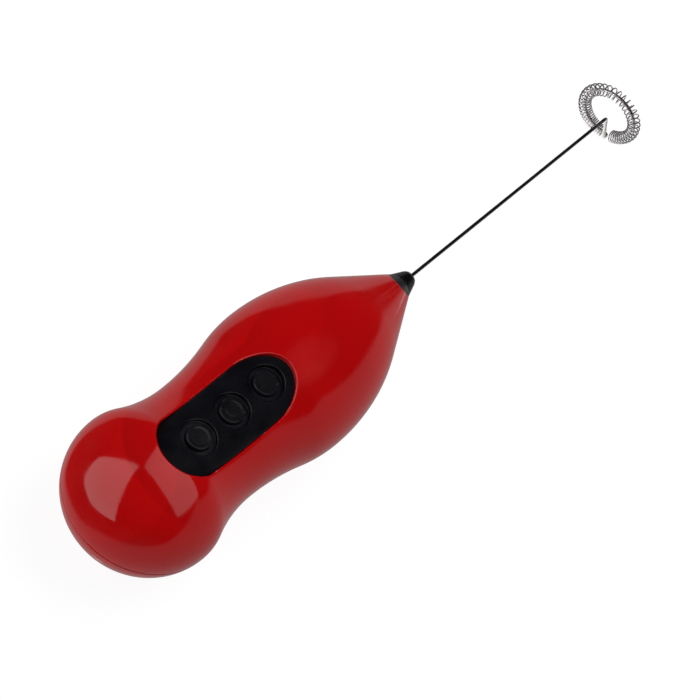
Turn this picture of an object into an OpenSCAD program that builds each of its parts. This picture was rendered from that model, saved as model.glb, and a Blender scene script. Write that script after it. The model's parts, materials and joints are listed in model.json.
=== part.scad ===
// Battery milk frother: a two-lobed handle with a three-button panel and a wire whisk.
// X runs along the shaft towards the whisk, Z points out of the button panel.
// The handle lies on two small flats on its back. Lengths are in millimetres.

/* [Handle outline] */
// Length of the rounded end behind the widest point of the bulb
bulb_len = 22; // [20:0.5:24]
// Largest radius of the bulb
bulb_r = 22.9; // [22.5:0.1:24]
// Radius of the arc that rolls over from the bulb to the waist
bulb_shoulder_r = 13.8; // [12:0.2:16]
// Radius of the hollow arc on the bulb side of the waist
waist_rear_arc_r = 40.8; // [36:0.4:44]
// Body radius at the waist
waist_r = 18.25; // [18:0.05:19]
// Radius of the hollow arc on the whisk side of the waist
waist_front_arc_r = 77.5; // [70:0.5:85]
// Radius of the arc that rises to the widest point of the front lobe
lobe_rear_arc_r = 42.9; // [38:0.5:48]
// Largest radius of the front lobe
lobe_r = 22.25; // [21.9:0.05:22.8]
// Radius of the arc that falls from the front lobe to the nose
lobe_front_arc_r = 57.5; // [54:0.5:62]
// Distance from the bulb's end to the front edge of the red shells
shell_len = 122; // [121:0.5:124]
// Radius of the red shells at that front edge
shell_nose_r = 4.15; // [4:0.05:4.6]
// Slant of the joint between the front shell and the nose, over the panel's side
nose_slant = 31; // [0:1:35]
// Where that slanted joint crosses the handle's axis, from the bulb's end
nose_joint_x = 122.25; // [122.05:0.05:122.5]
// Wall thickness of the shells
wall = 2; // [1.8:0.1:2.1]
// Height of the handle's axis over the surface that it lies on
axis_z = 21.8; // [21.5:0.1:21.9]

/* [Panel and buttons] */
// Half of the panel's width
panel_half_w = 9.25; // [9:0.05:9.6]
// Rear end of the panel, from the bulb's end
panel_start = 20; // [19:0.5:21]
// Front end of the panel, from the bulb's end
panel_end = 66.7; // [66:0.1:68]
// Height of the panel's saddle over the handle's axis
panel_crest = 18.9; // [18.7:0.05:19.2]
// Distance of the middle button from the bulb's end
button_mid_x = 46; // [45:0.5:47]
// Spacing of the buttons
button_pitch = 12.8; // [12.4:0.1:13.2]
// Radius of a button's cap
button_r = 3.55; // [3.2:0.05:3.6]
// Radius of the round recess about a button
recess_r = 5.05; // [4.95:0.05:5.3]
// How far a button travels
button_travel = 1; // [0.6:0.1:1.2]

/* [Whisk] */
// Distance from the bulb's end to the middle of the whisk ring
ring_x = 216.5; // [205:0.5:225]
// Radius of the ring, to the middle of the coil
ring_r = 8.36; // [8:0.02:9]
// Angle that the ring leans out of square with the shaft
ring_tilt = 5.5; // [0:0.5:8]
// Distance of the ring's middle from the shaft's axis
ring_offset = 0.45; // [0:0.05:0.8]
// Outer radius of the coil that is threaded on the ring
coil_r = 1.95; // [1.8:0.05:2.1]
// Diameter of the coil's wire
coil_wire_d = 0.42; // [0.3:0.02:0.5]
// Number of turns in the coil
coil_turns = 44; // [36:1:50]
// Diameter of the shaft and hoop wire
shaft_d = 1; // [0.9:0.05:1.1]

/* [Hidden] */

red = [0.66, 0.03, 0.04];
black = [0.06, 0.06, 0.07];
steel = [0.75, 0.75, 0.74];
brass = [0.80, 0.65, 0.32];
copper = [0.72, 0.40, 0.24];

$fn = 64;
far = 400;

// Centres of the outline's arcs, found from their tangent points
bulb_x = bulb_len;
shoulder_c = [bulb_x, bulb_r - bulb_shoulder_r];
rear_rise = waist_r + waist_rear_arc_r - shoulder_c[1];
waist_x = bulb_x + sqrt(pow(bulb_shoulder_r + waist_rear_arc_r, 2) - pow(rear_rise, 2));
waist_rear_c = [waist_x, waist_r + waist_rear_arc_r];
waist_front_c = [waist_x, waist_r + waist_front_arc_r];
front_drop = waist_front_c[1] - (lobe_r - lobe_rear_arc_r);
lobe_x = waist_x + sqrt(pow(waist_front_arc_r + lobe_rear_arc_r, 2) - pow(front_drop, 2));
lobe_rear_c = [lobe_x, lobe_r - lobe_rear_arc_r];
lobe_front_c = [lobe_x, lobe_r - lobe_front_arc_r];
nose_reach = [shell_len, shell_nose_r] - lobe_front_c;
rear_angle = atan2(waist_rear_c[1] - shoulder_c[1], waist_x - bulb_x);
front_angle = atan2(lobe_rear_c[1] - waist_front_c[1], lobe_x - waist_x);
nose_angle = atan2(nose_reach[1], nose_reach[0]) + acos(lobe_front_arc_r / norm(nose_reach));

function arc(c, r, from, to, steps) =
    [for (i = [1:steps]) let (a = from + (to - from) * i / steps) c + r * [cos(a), sin(a)]];

outline = concat(
    [for (i = [0:16]) let (a = 180 - 90 * i / 16) [bulb_x + bulb_len * cos(a), bulb_r * sin(a)]],
    arc(shoulder_c, bulb_shoulder_r, 90, rear_angle, 7),
    arc(waist_rear_c, waist_rear_arc_r, rear_angle - 180, -90, 7),
    arc(waist_front_c, waist_front_arc_r, -90, front_angle, 6),
    arc(lobe_rear_c, lobe_rear_arc_r, front_angle + 180, 90, 6),
    arc(lobe_front_c, lobe_front_arc_r, 90, nose_angle, 9),
    [[shell_len, shell_nose_r]]
);

// An outline moved inwards by a depth, square to itself
function inward(pts, depth) = [for (i = [0:len(pts) - 1])
    let (
        before = pts[max(i - 1, 0)],
        after = pts[min(i + 1, len(pts) - 1)],
        along = (after - before) / norm(after - before)
    )
    i == 0 ? pts[0] + [depth, 0] : pts[i] + depth * [along[1], -along[0]]];

function reversed(pts) = [for (i = [len(pts) - 1:-1:0]) pts[i]];

// Positions along the handle
split_z = -2.2;
door_end = 61;
door_gap = 0.2;
total_len = ring_x + ring_r * sin(ring_tilt) + coil_r;
button_x = [for (i = [-1:1]) button_mid_x + i * button_pitch];
panel_sag_r = 160;
panel_sag_x = 45;
panel_side_r = 16;
panel_axis = panel_crest - panel_side_r;
flange_grip = 1.5;
flange_t = 1.2;
board_z = 9;
board_t = 1;
dome_h = button_travel + 1.8;
recess_depth = 1.5;
ceiling_depth = 2.9;
housing_r = 6.2;
housing_h = 4.2;
button_flange_r = 4.5;
button_sink = 0.1;
cell_r = 7.25;
cell_y = 7.35;
cell_z = -3.5;
cell_start = 10;
cell_len = 49.5;
nub_len = 1;
deck_z = 4;
motor_x = 68;
motor_len = 25;
motor_r = 10;
motor_flat = 7.5;
motor_wall = 0.5;
motor_shaft_r = 1;
shaft_r = shaft_d / 2;
whisk_start = 104;
spigot_r = 2.9;
spigot_start = 111.5;
nose_block_x = 111.55;
nose_flange_r = 4;
running = 0.04;
hoop_start = -115;
foot = [
    ring_x - ring_r * cos(hoop_start) * sin(ring_tilt),
    ring_offset + ring_r * cos(hoop_start) * cos(ring_tilt),
    ring_r * sin(hoop_start)
];
leg_angle = atan2(foot[2], foot[1]);
leg_reach = norm([foot[1], foot[2]]);
shaft_end = foot[0] - 2.1;

function button_top(x) = panel_crest + pow(x - panel_sag_x, 2) / (2 * panel_sag_r);

// Puts the handle's own axis frame into the part's frame
module placed() {
    translate([-total_len / 2, 0, axis_z]) children();
}

// Turns a list of [distance along the axis, radius] into a solid about the axis
module revolved(pts, turn = 360) {
    rotate([0, 90, 0]) rotate_extrude(angle = turn) polygon([for (p = pts) [p[1], p[0]]]);
}

module rod(x, r, length) {
    translate([x, 0, 0]) rotate([0, 90, 0]) cylinder(r = r, h = length);
}

module tube(x, outer_r, inner_r, length) {
    difference() {
        rod(x, outer_r, length);
        rod(x - 1, inner_r, length + 2);
    }
}

module block(x, y, z) {
    translate([x[0], y[0], z[0]]) cube([x[1] - x[0], y[1] - y[0], z[1] - z[0]]);
}

module both_sides() {
    children();
    mirror([0, 1, 0]) children();
}

// The body filled to a depth under its surface
module body_core(depth) {
    pts = inward(outline, depth);
    revolved(concat(pts, [[pts[len(pts) - 1][0], 0]]));
}

// The layer of the body between two depths
module body_layer(top, bottom) {
    revolved(concat(inward(outline, top), reversed(inward(outline, bottom))));
}

module above(z) {
    block([-far, far], [-far, far], [z, far]);
}

module below(z) {
    block([-far, far], [-far, far], [-far, z]);
}

// Spiral or bent wire along a list of points
function unit(v) = v / norm(v);
function wire_tangent(p, i) = unit(p[min(i + 1, len(p) - 1)] - p[max(i - 1, 0)]);

module swept_wire(path, r, sides, up) {
    rings = len(path);
    points = [for (i = [0:rings - 1])
        let (
            t = wire_tangent(path, i),
            side = unit(cross(t, up[i])),
            lift = cross(side, t)
        )
        for (k = [0:sides - 1]) path[i] + r * (cos(360 * k / sides) * side + sin(360 * k / sides) * lift)];
    walls = [for (i = [0:rings - 2]) for (k = [0:sides - 1]) for (half = [0, 1])
        let (
            a = i * sides + k,
            b = i * sides + (k + 1) % sides
        )
        half == 0 ? [a, b, b + sides] : [a, b + sides, a + sides]];
    caps = [
        [for (k = [sides - 1:-1:0]) k],
        [for (k = [0:sides - 1]) (rings - 1) * sides + k]
    ];
    polyhedron(points, concat(walls, caps), convexity = 10);
}

// ---- Shells and door ----

// Plan of the panel: a round rear end, straight sides and a longer front end
module panel_plan(grow) {
    half = panel_half_w + grow;
    rear_c = panel_start + panel_half_w;
    front_len = 11.7 + grow;
    front_c = panel_end + grow - front_len;
    polygon(concat(
        [for (i = [0:24]) let (a = 90 + 180 * i / 24) [rear_c + half * cos(a), half * sin(a)]],
        [for (i = [0:24]) let (a = -90 + 180 * i / 24) [front_c + front_len * cos(a), half * sin(a)]]
    ));
}

module panel_column(grow) {
    linear_extrude(height = 40) panel_plan(grow);
}

shell_screw_at = [[73, 14.5], [101, 8.2]];

module screw_places(places) {
    for (p = places) {
        for (side = [-1, 1]) {
            translate([p[0], side * p[1], 0]) children();
        }
    }
}

chassis_screw_at = [[66, 13.5]];
board_screw_at = [for (side = [-1, 1]) [button_mid_x + side * button_pitch / 2, 6.8]];

// The space in front of the slanted joint
module nose_side(gap) {
    translate([nose_joint_x + gap, 0, 0]) rotate([0, -nose_slant, 0]) block([0, 20], [-10, 10], [-10, 20]);
}

module front_shell() {
    color(red) placed() difference() {
        union() {
            intersection() {
                body_layer(0, wall);
                above(split_z);
            }
            intersection() {
                union() {
                    screw_places(shell_screw_at) translate([0, 0, split_z]) cylinder(r = 2.6, h = 30);
                    screw_places(chassis_screw_at) cylinder(r = 2.4, h = 30);
                    block([106, 109], [-12, 12], [split_z, 20]);
                    block([nose_block_x, shell_len], [-12, 12], [split_z, 20]);
                }
                body_core(wall / 2);
            }
        }
        panel_column(0.08);
        nose_side(0);
        rod(100, spigot_r + 0.05, 40);
        rod(100, nose_flange_r + 0.1, nose_block_x - 100);
        screw_places(shell_screw_at) translate([0, 0, split_z - 1]) cylinder(r = 1, h = 8);
        screw_places(chassis_screw_at) translate([0, 0, -1]) cylinder(r = 1, h = 8);
    }
}

module back_shell() {
    color(red) placed() difference() {
        union() {
            intersection() {
                body_layer(0, wall);
                block([door_end, far], [-far, far], [-far, split_z]);
            }
            intersection() {
                union() {
                    screw_places(shell_screw_at) mirror([0, 0, 1]) translate([0, 0, -split_z]) cylinder(r = 2.6, h = 30);
                    block([106, 109], [-12, 12], [-20, split_z]);
                    block([nose_block_x, shell_len], [-12, 12], [-20, split_z]);
                }
                body_core(wall / 2);
            }
        }
        below(-axis_z);
        rod(100, spigot_r + 0.05, 40);
        rod(100, nose_flange_r + 0.1, nose_block_x - 100);
        screw_places(shell_screw_at) translate([0, 0, -20]) cylinder(r = 1.15, h = 30);
        screw_places(shell_screw_at) translate([0, 0, -far - 6]) cylinder(r = 2.2, h = far);
    }
}

// Sliding cover with two hooks that ride on the chassis keel, and thumb ridges
module battery_door() {
    color(red) placed() {
        difference() {
            intersection() {
                body_layer(0, wall);
                block([-far, door_end - door_gap], [-far, far], [-far, split_z - door_gap]);
            }
            below(-axis_z);
        }
        intersection() {
            both_sides() {
                block([34, 56], [2.8, 4], [-20, -11.2]);
                block([34, 56], [1.2, 2.8], [-12.2, -11.2]);
            }
            body_core(wall / 2);
        }
        intersection() {
            for (i = [0:3]) {
                block([46 + 2.4 * i, 47 + 2.4 * i], [-6, 6], [-axis_z, -16.5]);
            }
            difference() {
                body_core(-0.4);
                body_core(wall / 2);
            }
        }
    }
}

// ---- Panel, buttons and board ----

// Solid below the panel's outer face, which is a shallow saddle
module panel_saddle() {
    span = [15, 75];
    steps = 16;
    translate([0, 0, panel_axis]) revolved(concat(
        [[span[0], 0]],
        [for (i = [0:steps]) let (x = span[0] + (span[1] - span[0]) * i / steps) [x, button_top(x) - panel_axis]],
        [[span[1], 0]]
    ));
}

// Skin, round button housings under it and posts for the board
module control_panel() {
    color(black) placed() difference() {
        union() {
            difference() {
                union() {
                    intersection() {
                        panel_column(0);
                        panel_saddle();
                    }
                    intersection() {
                        panel_column(flange_grip);
                        body_layer(wall, wall + flange_t + 0.5);
                    }
                }
                body_core(wall + flange_t);
            }
            intersection() {
                screw_places(board_screw_at) translate([0, 0, board_z + board_t]) cylinder(r = 2, h = 12);
                body_core(wall + flange_t / 2);
            }
            intersection() {
                for (x = button_x) {
                    translate([x, 0, button_top(x) - housing_h]) cylinder(r = housing_r, h = housing_h);
                }
                panel_saddle();
            }
        }
        for (x = button_x) {
            translate([x, 0, button_top(x) - recess_depth]) cylinder(r = recess_r, h = 10);
            translate([x, 0, 5]) cylinder(r = button_r + 0.15, h = 20);
            translate([x, 0, 5]) cylinder(r = button_flange_r + 0.4, h = button_top(x) - ceiling_depth - 5);
        }
        screw_places(board_screw_at) translate([0, 0, 5]) cylinder(r = 0.9, h = 9.5);
    }
}

// A cap with a soft edge, its hidden flange and the stem that presses the dome
module button_body(x) {
    top = button_top(x) - button_sink;
    dome_top = board_z + board_t + dome_h;
    flange_top = button_top(x) - ceiling_depth - 0.1;
    flange_low = flange_top - 1;
    edge = 0.35;
    placed() translate([x, 0, 0]) rotate_extrude() polygon(concat(
        [[0, dome_top], [1.4, dome_top], [1.4, flange_low], [button_flange_r, flange_low]],
        [[button_flange_r, flange_top], [button_r, flange_top]],
        [for (i = [0:6]) let (a = 15 * i) [button_r - edge + edge * cos(a), top - edge + edge * sin(a)]],
        [[2.2, top - 0.08], [0, top - 0.14]]
    ));
}

module button_slow() {
    color(black) button_body(button_x[0]);
}

// The middle cap carries the usual on and off mark as a raised open ring and a bar
module button_power() {
    top = button_top(button_x[1]) - button_sink;
    color(black) {
        button_body(button_x[1]);
        placed() translate([button_x[1], 0, top - 0.3]) {
            rotate([0, 0, 30]) rotate_extrude(angle = 300) translate([1.5, 0]) square([0.35, 0.42]);
            block([0.5, 2.1], [-0.18, 0.18], [0, 0.42]);
        }
    }
}

module button_fast() {
    color(black) button_body(button_x[2]);
}

// Silicone dome that returns a button: thin sides under a solid top
module dome(x) {
    base = board_z + board_t;
    color([0.85, 0.85, 0.82]) placed() translate([x, 0, base]) rotate_extrude() polygon([
        [3.3, 0], [4.2, 0], [4.2, 0.5], [2.1, dome_h], [0, dome_h], [0, dome_h - 1], [1.5, dome_h - 1], [3.3, 0.5]
    ]);
}

module dome_slow() {
    dome(button_x[0]);
}

module dome_power() {
    dome(button_x[1]);
}

module dome_fast() {
    dome(button_x[2]);
}

board_ends = [26, 68];

module circuit_board() {
    color([0.10, 0.35, 0.16]) placed() difference() {
        block(board_ends, [-9.6, 9.6], [board_z, board_z + board_t]);
        screw_places(board_screw_at) translate([0, 0, board_z - 1]) cylinder(r = 1.1, h = 4);
    }
}

// Contact pads under the domes, a control chip and two power transistors under the board
module board_components() {
    color([0.15, 0.15, 0.16]) placed() {
        for (x = button_x) {
            translate([x, 0, board_z + board_t]) cylinder(r = 1.6, h = 0.2);
        }
        block([43, 49], [-2.4, 2.4], [board_z - 1.5, board_z]);
        for (side = [-1, 1]) {
            block([55.5, 58.5], [side * 3.5 - 1, side * 3.5 + 1], [board_z - 1.2, board_z]);
        }
    }
}

module board_screws() {
    color(steel) placed() screw_places(board_screw_at) {
        translate([0, 0, board_z - 1.2]) cylinder(r = 1.8, h = 1.2);
        translate([0, 0, board_z - 0.6]) cylinder(r = 0.9, h = 5.4);
    }
}

// ---- Chassis and battery ----

chassis_rear = 5.8;
chassis_wall = [62, 63.2];

module chassis() {
    color([0.16, 0.16, 0.17]) placed() difference() {
        union() {
            block([chassis_rear, 7.2], [-9.2, 9.2], [-7.3, deck_z + 1.2]);
            block([chassis_rear, 60.6], [-9.6, 9.6], [deck_z, deck_z + 1.2]);
            block([60.5, chassis_wall[0] + 0.1], [-4.2, 4.2], [deck_z, deck_z + 1.2]);
            block([20, 56], [-15, 15], [deck_z, deck_z + 1.2]);
            both_sides() block([20, 56], [14.75, 15.5], [-1.5, deck_z]);
            block(chassis_wall, [-11.6, 11.6], [-13.8, 5.2]);
            block(chassis_wall, [-16, 16], [-8, 5.2]);
            block([7.1, 10], [-0.8, 0.8], [-9.6, -6]);
            block([8.6, chassis_wall[1]], [-0.8, 0.8], [-12.7, -9]);
            block([8.6, chassis_wall[1]], [-2.4, 2.4], [-13.8, -12.6]);
            both_sides() block([63.1, 69], [10.7, 16.2], [-1.5, 0]);
            block([63.1, 90], [-6, 6], [-9.1, -motor_flat]);
            both_sides() block([72, 86], [5.9, 7.4], [-9.1, -motor_flat]);
        }
        screw_places(chassis_screw_at) translate([0, 0, -4]) cylinder(r = 1.15, h = 8);
        rod(chassis_wall[0] - 1, 2.5, 4);
    }
}

module chassis_screws() {
    color(steel) placed() screw_places(chassis_screw_at) {
        translate([0, 0, -2.9]) cylinder(r = 2, h = 1.4);
        translate([0, 0, -2]) cylinder(r = 1, h = 8);
    }
}

// A cell with its button contact towards the whisk, or turned about towards the bulb
module cell(side, turned) {
    color([0.20, 0.32, 0.55]) placed() translate([0, side * cell_y, cell_z]) {
        rod(cell_start, cell_r, cell_len);
        rod(turned ? cell_start - nub_len : cell_start + cell_len - 0.5, 2.75, nub_len + 0.5);
    }
}

module cell_left() {
    cell(1, false);
}

module cell_right() {
    cell(-1, true);
}

module bridge_contact() {
    color(steel) placed() {
        block([7.2, 7.5], [-8.8, 8.8], [-5.9, 0.5]);
        translate([0, -cell_y, cell_z]) rod(7.4, 1.6, 1.6);
    }
}

module contact_plate(side) {
    block([61.7, 62], [side * cell_y - 3, side * cell_y + 3], [-7, 7]);
}

module positive_contact() {
    color(steel) placed() {
        contact_plate(1);
        translate([0, cell_y, cell_z]) rod(60.5, 1.6, 1.3);
    }
}

module negative_contact() {
    color(steel) placed() contact_plate(-1);
}

// Conical battery spring from its wide base ring to its narrow top
module contact_spring(base_x, top_x, side) {
    turns = 2.5;
    steps = 36;
    wire_r = 0.3;
    lift = top_x > base_x ? wire_r : -wire_r;
    path = [for (i = [0:steps])
        let (
            u = i / steps,
            a = 360 * turns * u,
            r = 3.6 - 1.8 * u
        )
        [base_x + lift + (top_x - base_x - 2 * lift) * u, r * cos(a), r * sin(a)]];
    color(steel) placed() translate([0, side * cell_y, cell_z])
        swept_wire(path, wire_r, 8, [for (p = path) [1, 0, 0]]);
}

module rear_spring() {
    contact_spring(7.5, cell_start, 1);
}

module front_spring() {
    contact_spring(61.7, cell_start + cell_len, -1);
}

// ---- Motor ----

module motor_form(x, length, shrink) {
    intersection() {
        rod(x, motor_r - shrink, length);
        block([x - 1, x + length + 1], [-20, 20], [-motor_flat + shrink, motor_flat - shrink]);
    }
}

module motor_can() {
    color([0.70, 0.71, 0.72]) placed() difference() {
        union() {
            motor_form(motor_x, motor_len, 0);
            rod(motor_x + motor_len - 0.5, 3, 2);
        }
        motor_form(motor_x - 1, motor_len + 1 - motor_wall, motor_wall);
        rod(motor_x + motor_len - 2, 2, 6);
    }
}

module motor_end_cap() {
    color([0.90, 0.89, 0.85]) placed() difference() {
        union() {
            motor_form(motor_x - 2.6, 2.6, 0.3);
            motor_form(motor_x - 0.1, 1.6, motor_wall);
        }
        rod(motor_x - 5, 2, 10);
        both_sides() block([motor_x - 5, motor_x + 3], [4.2, 5.4], [-1.5, 1.5]);
    }
}

module motor_magnets() {
    color([0.25, 0.24, 0.24]) placed() both_sides()
        rotate([0, 90, 0]) rotate([0, 0, 52]) translate([0, 0, motor_x + 4])
        rotate_extrude(angle = 76) translate([6.9, 0]) square([2.5, 18]);
}

module motor_front_bush() {
    color(brass) placed() tube(motor_x + motor_len - 1, 2, motor_shaft_r + running, 2.5);
}

module motor_rear_bush() {
    color(brass) placed() tube(motor_x - 2.6, 2, motor_shaft_r + running, 3);
}

// Two leaf brushes that stand beside the commutator on their terminals
module motor_brushes() {
    color(copper) placed() both_sides() block([motor_x + 1.5, motor_x + 4.6], [2.26, 2.5], [-0.9, 0.9]);
}

module motor_terminals() {
    color(brass) placed() both_sides() {
        block([motor_x - 4.4, motor_x + 1.8], [4.5, 5], [-1.2, 1.2]);
        block([motor_x + 1.5, motor_x + 1.8], [2.5, 4.6], [-0.9, 0.9]);
    }
}

core_span = [motor_x + 6, motor_x + 20];

// Three-pole core: a hub, three arms and their curved shoes
module armature_core() {
    color([0.45, 0.45, 0.46]) placed() difference() {
        translate([core_span[0], 0, 0]) rotate([0, 90, 0]) {
            cylinder(r = 2.1, h = core_span[1] - core_span[0]);
            for (i = [0:2]) {
                rotate([0, 0, 120 * i]) {
                    translate([0, -1, 0]) cube([5.6, 2, core_span[1] - core_span[0]]);
                    rotate([0, 0, -48]) rotate_extrude(angle = 96)
                        translate([5.1, 0]) square([1.3, core_span[1] - core_span[0]]);
                }
            }
        }
        rod(core_span[0] - 1, motor_shaft_r, 20);
    }
}

module armature_windings() {
    overhang = 1.2;
    color(copper) placed() translate([core_span[0] - overhang, 0, 0]) rotate([0, 90, 0]) {
        for (i = [0:2]) {
            rotate([0, 0, 120 * i]) difference() {
                translate([2.4, -2.5, 0]) cube([1.9, 5, core_span[1] - core_span[0] + 2 * overhang]);
                translate([2, -1, overhang]) cube([4, 2, core_span[1] - core_span[0]]);
            }
        }
    }
}

module commutator() {
    color(copper) placed() tube(motor_x + 1.6, 2.2, motor_shaft_r, 3.1);
}

module motor_shaft() {
    color(steel) placed() rod(motor_x - 2.2, motor_shaft_r, whisk_start - motor_x + 2.2);
}

module coupling_sleeve() {
    color(brass) placed() difference() {
        rod(96, 2.4, 13);
        rod(95, motor_shaft_r, whisk_start - 95);
        rod(whisk_start - 1, shaft_r, 10);
    }
}

// ---- Nose ----

// Black nose: a tapering tip, a slanted shoulder, a spigot in the shells' bore and a flange behind it
module nose_cone() {
    tip_r = 1.5;
    tip_c = [125.55, 0.95];
    color(black) placed() difference() {
        union() {
            revolved(concat(
                [[110, 0], [110, nose_flange_r], [spigot_start, nose_flange_r]],
                [[spigot_start, spigot_r], [shell_len, spigot_r], [shell_len, shell_nose_r]],
                arc(tip_c, tip_r, 67, 5, 8),
                [[tip_c[0] + tip_r, 0]]
            ));
            intersection() {
                body_core(0);
                nose_side(0.05);
            }
        }
        rod(109, 1.7, 12);
        rod(109, 0.75, 30);
    }
}

module nose_bush() {
    color(brass) placed() tube(111, 1.7, shaft_r + running, 8);
}

module shaft_seal() {
    color([0.12, 0.12, 0.12]) placed() tube(119, 1.7, shaft_r + running, 2);
}

module shell_screws() {
    color(steel) placed() screw_places(shell_screw_at) {
        translate([0, 0, -7.6]) cylinder(r = 2, h = 1.6);
        translate([0, 0, -6.5]) cylinder(r = 1, h = 10);
    }
}

// ---- Leads from the battery contacts and the motor terminals up to the board ----

battery_lead_route = [[61.85, 7.35, 7], [61.85, 7.3, 7.6], [61.6, 7.2, 8.2], [61.5, 7.2, 9]];
motor_lead_route = [[64.4, 4.75, 1.2], [64.4, 4.8, 3], [64.6, 5.2, 5.5], [64.8, 5.4, 7.5], [64.8, 5.4, 9]];

module lead(route, side, r) {
    path = [for (p = route) [p[0], side * p[1], p[2]]];
    placed() swept_wire(path, r, 8, [for (p = path) [1, 0, 0]]);
}

module lead_battery_positive() {
    color([0.75, 0.08, 0.06]) lead(battery_lead_route, 1, 0.4);
}

module lead_battery_negative() {
    color([0.08, 0.08, 0.08]) lead(battery_lead_route, -1, 0.4);
}

module lead_motor_positive() {
    color([0.75, 0.08, 0.06]) lead(motor_lead_route, 1, 0.5);
}

module lead_motor_negative() {
    color([0.08, 0.08, 0.08]) lead(motor_lead_route, -1, 0.5);
}

// ---- Whisk ----

// A bend of the whisk wire in the plane of X and the direction of the leg
module wire_elbow(radius, angle) {
    rotate_extrude(angle = angle) translate([radius, 0]) circle(r = shaft_r);
}

// Puts what is drawn about the X axis on the leaning ring
module on_ring() {
    translate([ring_x, ring_offset, 0]) rotate([0, 0, ring_tilt]) children();
}

// Straight shaft, a square bend, a leg out to the ring, and the hoop inside the coil
module whisk_wire() {
    bend = 1.2;
    hoop_turn = 345;
    leg_len = leg_reach - 2 * bend;
    color([0.45, 0.45, 0.46]) placed() {
        rotate([leg_angle, 0, 0]) {
            rod(whisk_start, shaft_r, shaft_end - bend - whisk_start);
            translate([shaft_end - bend, bend, 0]) rotate([0, 0, -90]) wire_elbow(bend, 90);
            translate([shaft_end, bend, 0]) rotate([-90, 0, 0]) cylinder(r = shaft_r, h = leg_len);
            translate([shaft_end + bend, bend + leg_len, 0]) rotate([0, 0, 90]) wire_elbow(bend, 90);
            translate([shaft_end + bend, leg_reach, 0]) rotate([0, 90, 0])
                cylinder(r = shaft_r, h = foot[0] - shaft_end - bend);
            translate([foot[0], leg_reach, 0]) sphere(r = shaft_r + 0.03);
        }
        on_ring() rotate([hoop_start, 0, 0]) rotate([90, 0, 90])
            rotate_extrude(angle = hoop_turn) translate([ring_r, 0]) circle(r = shaft_r);
    }
}

// Fine coil wound round the hoop, open for a few degrees where the leg comes in
module whisk_coil() {
    steps_per_turn = 12;
    steps = coil_turns * steps_per_turn;
    first = hoop_start + 9;
    sweep = 342;
    helix_r = coil_r - coil_wire_d / 2;
    path = [for (i = [0:steps])
        let (
            ring_a = first + sweep * i / steps,
            turn_a = 360 * i / steps_per_turn,
            r = ring_r + helix_r * cos(turn_a)
        )
        [helix_r * sin(turn_a), r * cos(ring_a), r * sin(ring_a)]];
    up = [for (i = [0:steps])
        let (
            ring_a = first + sweep * i / steps,
            turn_a = 360 * i / steps_per_turn
        )
        [sin(turn_a), cos(turn_a) * cos(ring_a), cos(turn_a) * sin(ring_a)]];
    color(steel) placed() on_ring() swept_wire(path, coil_wire_d / 2, 6, up);
}

front_shell();
back_shell();
battery_door();
control_panel();
button_slow();
button_power();
button_fast();
dome_slow();
dome_power();
dome_fast();
circuit_board();
board_components();
board_screws();
chassis();
chassis_screws();
cell_left();
cell_right();
bridge_contact();
positive_contact();
negative_contact();
rear_spring();
front_spring();
motor_can();
motor_end_cap();
motor_magnets();
motor_front_bush();
motor_rear_bush();
motor_brushes();
motor_terminals();
armature_core();
armature_windings();
commutator();
motor_shaft();
coupling_sleeve();
nose_cone();
nose_bush();
shaft_seal();
shell_screws();
lead_battery_positive();
lead_battery_negative();
lead_motor_positive();
lead_motor_negative();
whisk_wire();
whisk_coil();
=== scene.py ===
"""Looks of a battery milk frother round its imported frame: shells, panel, buttons, nose and whisk.

Shapes are worked out in millimetres in the handle's own frame: x from the bulb's end along the
shaft, z from the shaft's axis out of the button panel. to_frame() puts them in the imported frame.
"""
import json
import math

import bpy
import numpy as np
from mathutils import Matrix, Vector
from mathutils.geometry import delaunay_2d_cdt


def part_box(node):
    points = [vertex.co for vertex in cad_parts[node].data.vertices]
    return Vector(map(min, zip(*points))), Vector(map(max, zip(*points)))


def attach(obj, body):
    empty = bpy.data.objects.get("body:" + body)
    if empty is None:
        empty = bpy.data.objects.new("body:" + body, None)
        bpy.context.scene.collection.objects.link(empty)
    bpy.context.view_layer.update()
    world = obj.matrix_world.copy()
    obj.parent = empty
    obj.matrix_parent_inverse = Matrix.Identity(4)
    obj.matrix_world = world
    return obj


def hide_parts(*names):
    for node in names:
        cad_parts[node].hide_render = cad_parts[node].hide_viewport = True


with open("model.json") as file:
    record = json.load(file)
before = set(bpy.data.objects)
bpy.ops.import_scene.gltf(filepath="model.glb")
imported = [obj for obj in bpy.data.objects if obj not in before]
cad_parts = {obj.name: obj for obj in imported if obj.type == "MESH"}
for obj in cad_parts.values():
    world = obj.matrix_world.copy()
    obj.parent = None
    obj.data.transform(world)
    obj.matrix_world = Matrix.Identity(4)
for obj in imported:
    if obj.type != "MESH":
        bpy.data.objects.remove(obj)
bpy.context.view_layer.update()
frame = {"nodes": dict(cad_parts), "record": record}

MM = 0.001
shaft_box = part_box("motor_shaft")
BULB_END_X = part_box("front_shell")[0].x
AXIS_Z = (shaft_box[0].z + shaft_box[1].z) / 2


def to_frame(points):
    """From the handle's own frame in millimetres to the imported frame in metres."""
    return np.asarray(points, float) * MM + np.array([BULB_END_X, 0.0, AXIS_Z])


def unit(vectors):
    vectors = np.asarray(vectors, float)
    return vectors / np.linalg.norm(vectors, axis=-1, keepdims=True)


def dots(a, b):
    return (a * b).sum(-1, keepdims=True)


def full_turn(count):
    return np.linspace(0, 2 * math.pi, count, endpoint=False)


def circle(angles):
    return np.stack([np.cos(angles), np.sin(angles)], 1)


def with_z(plan, z=0.0):
    """Adds a height, one for all or one for each, to points or directions of a plan."""
    return np.column_stack([plan, np.broadcast_to(z, len(plan))])


# ---- Outline of the handle ----

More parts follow.
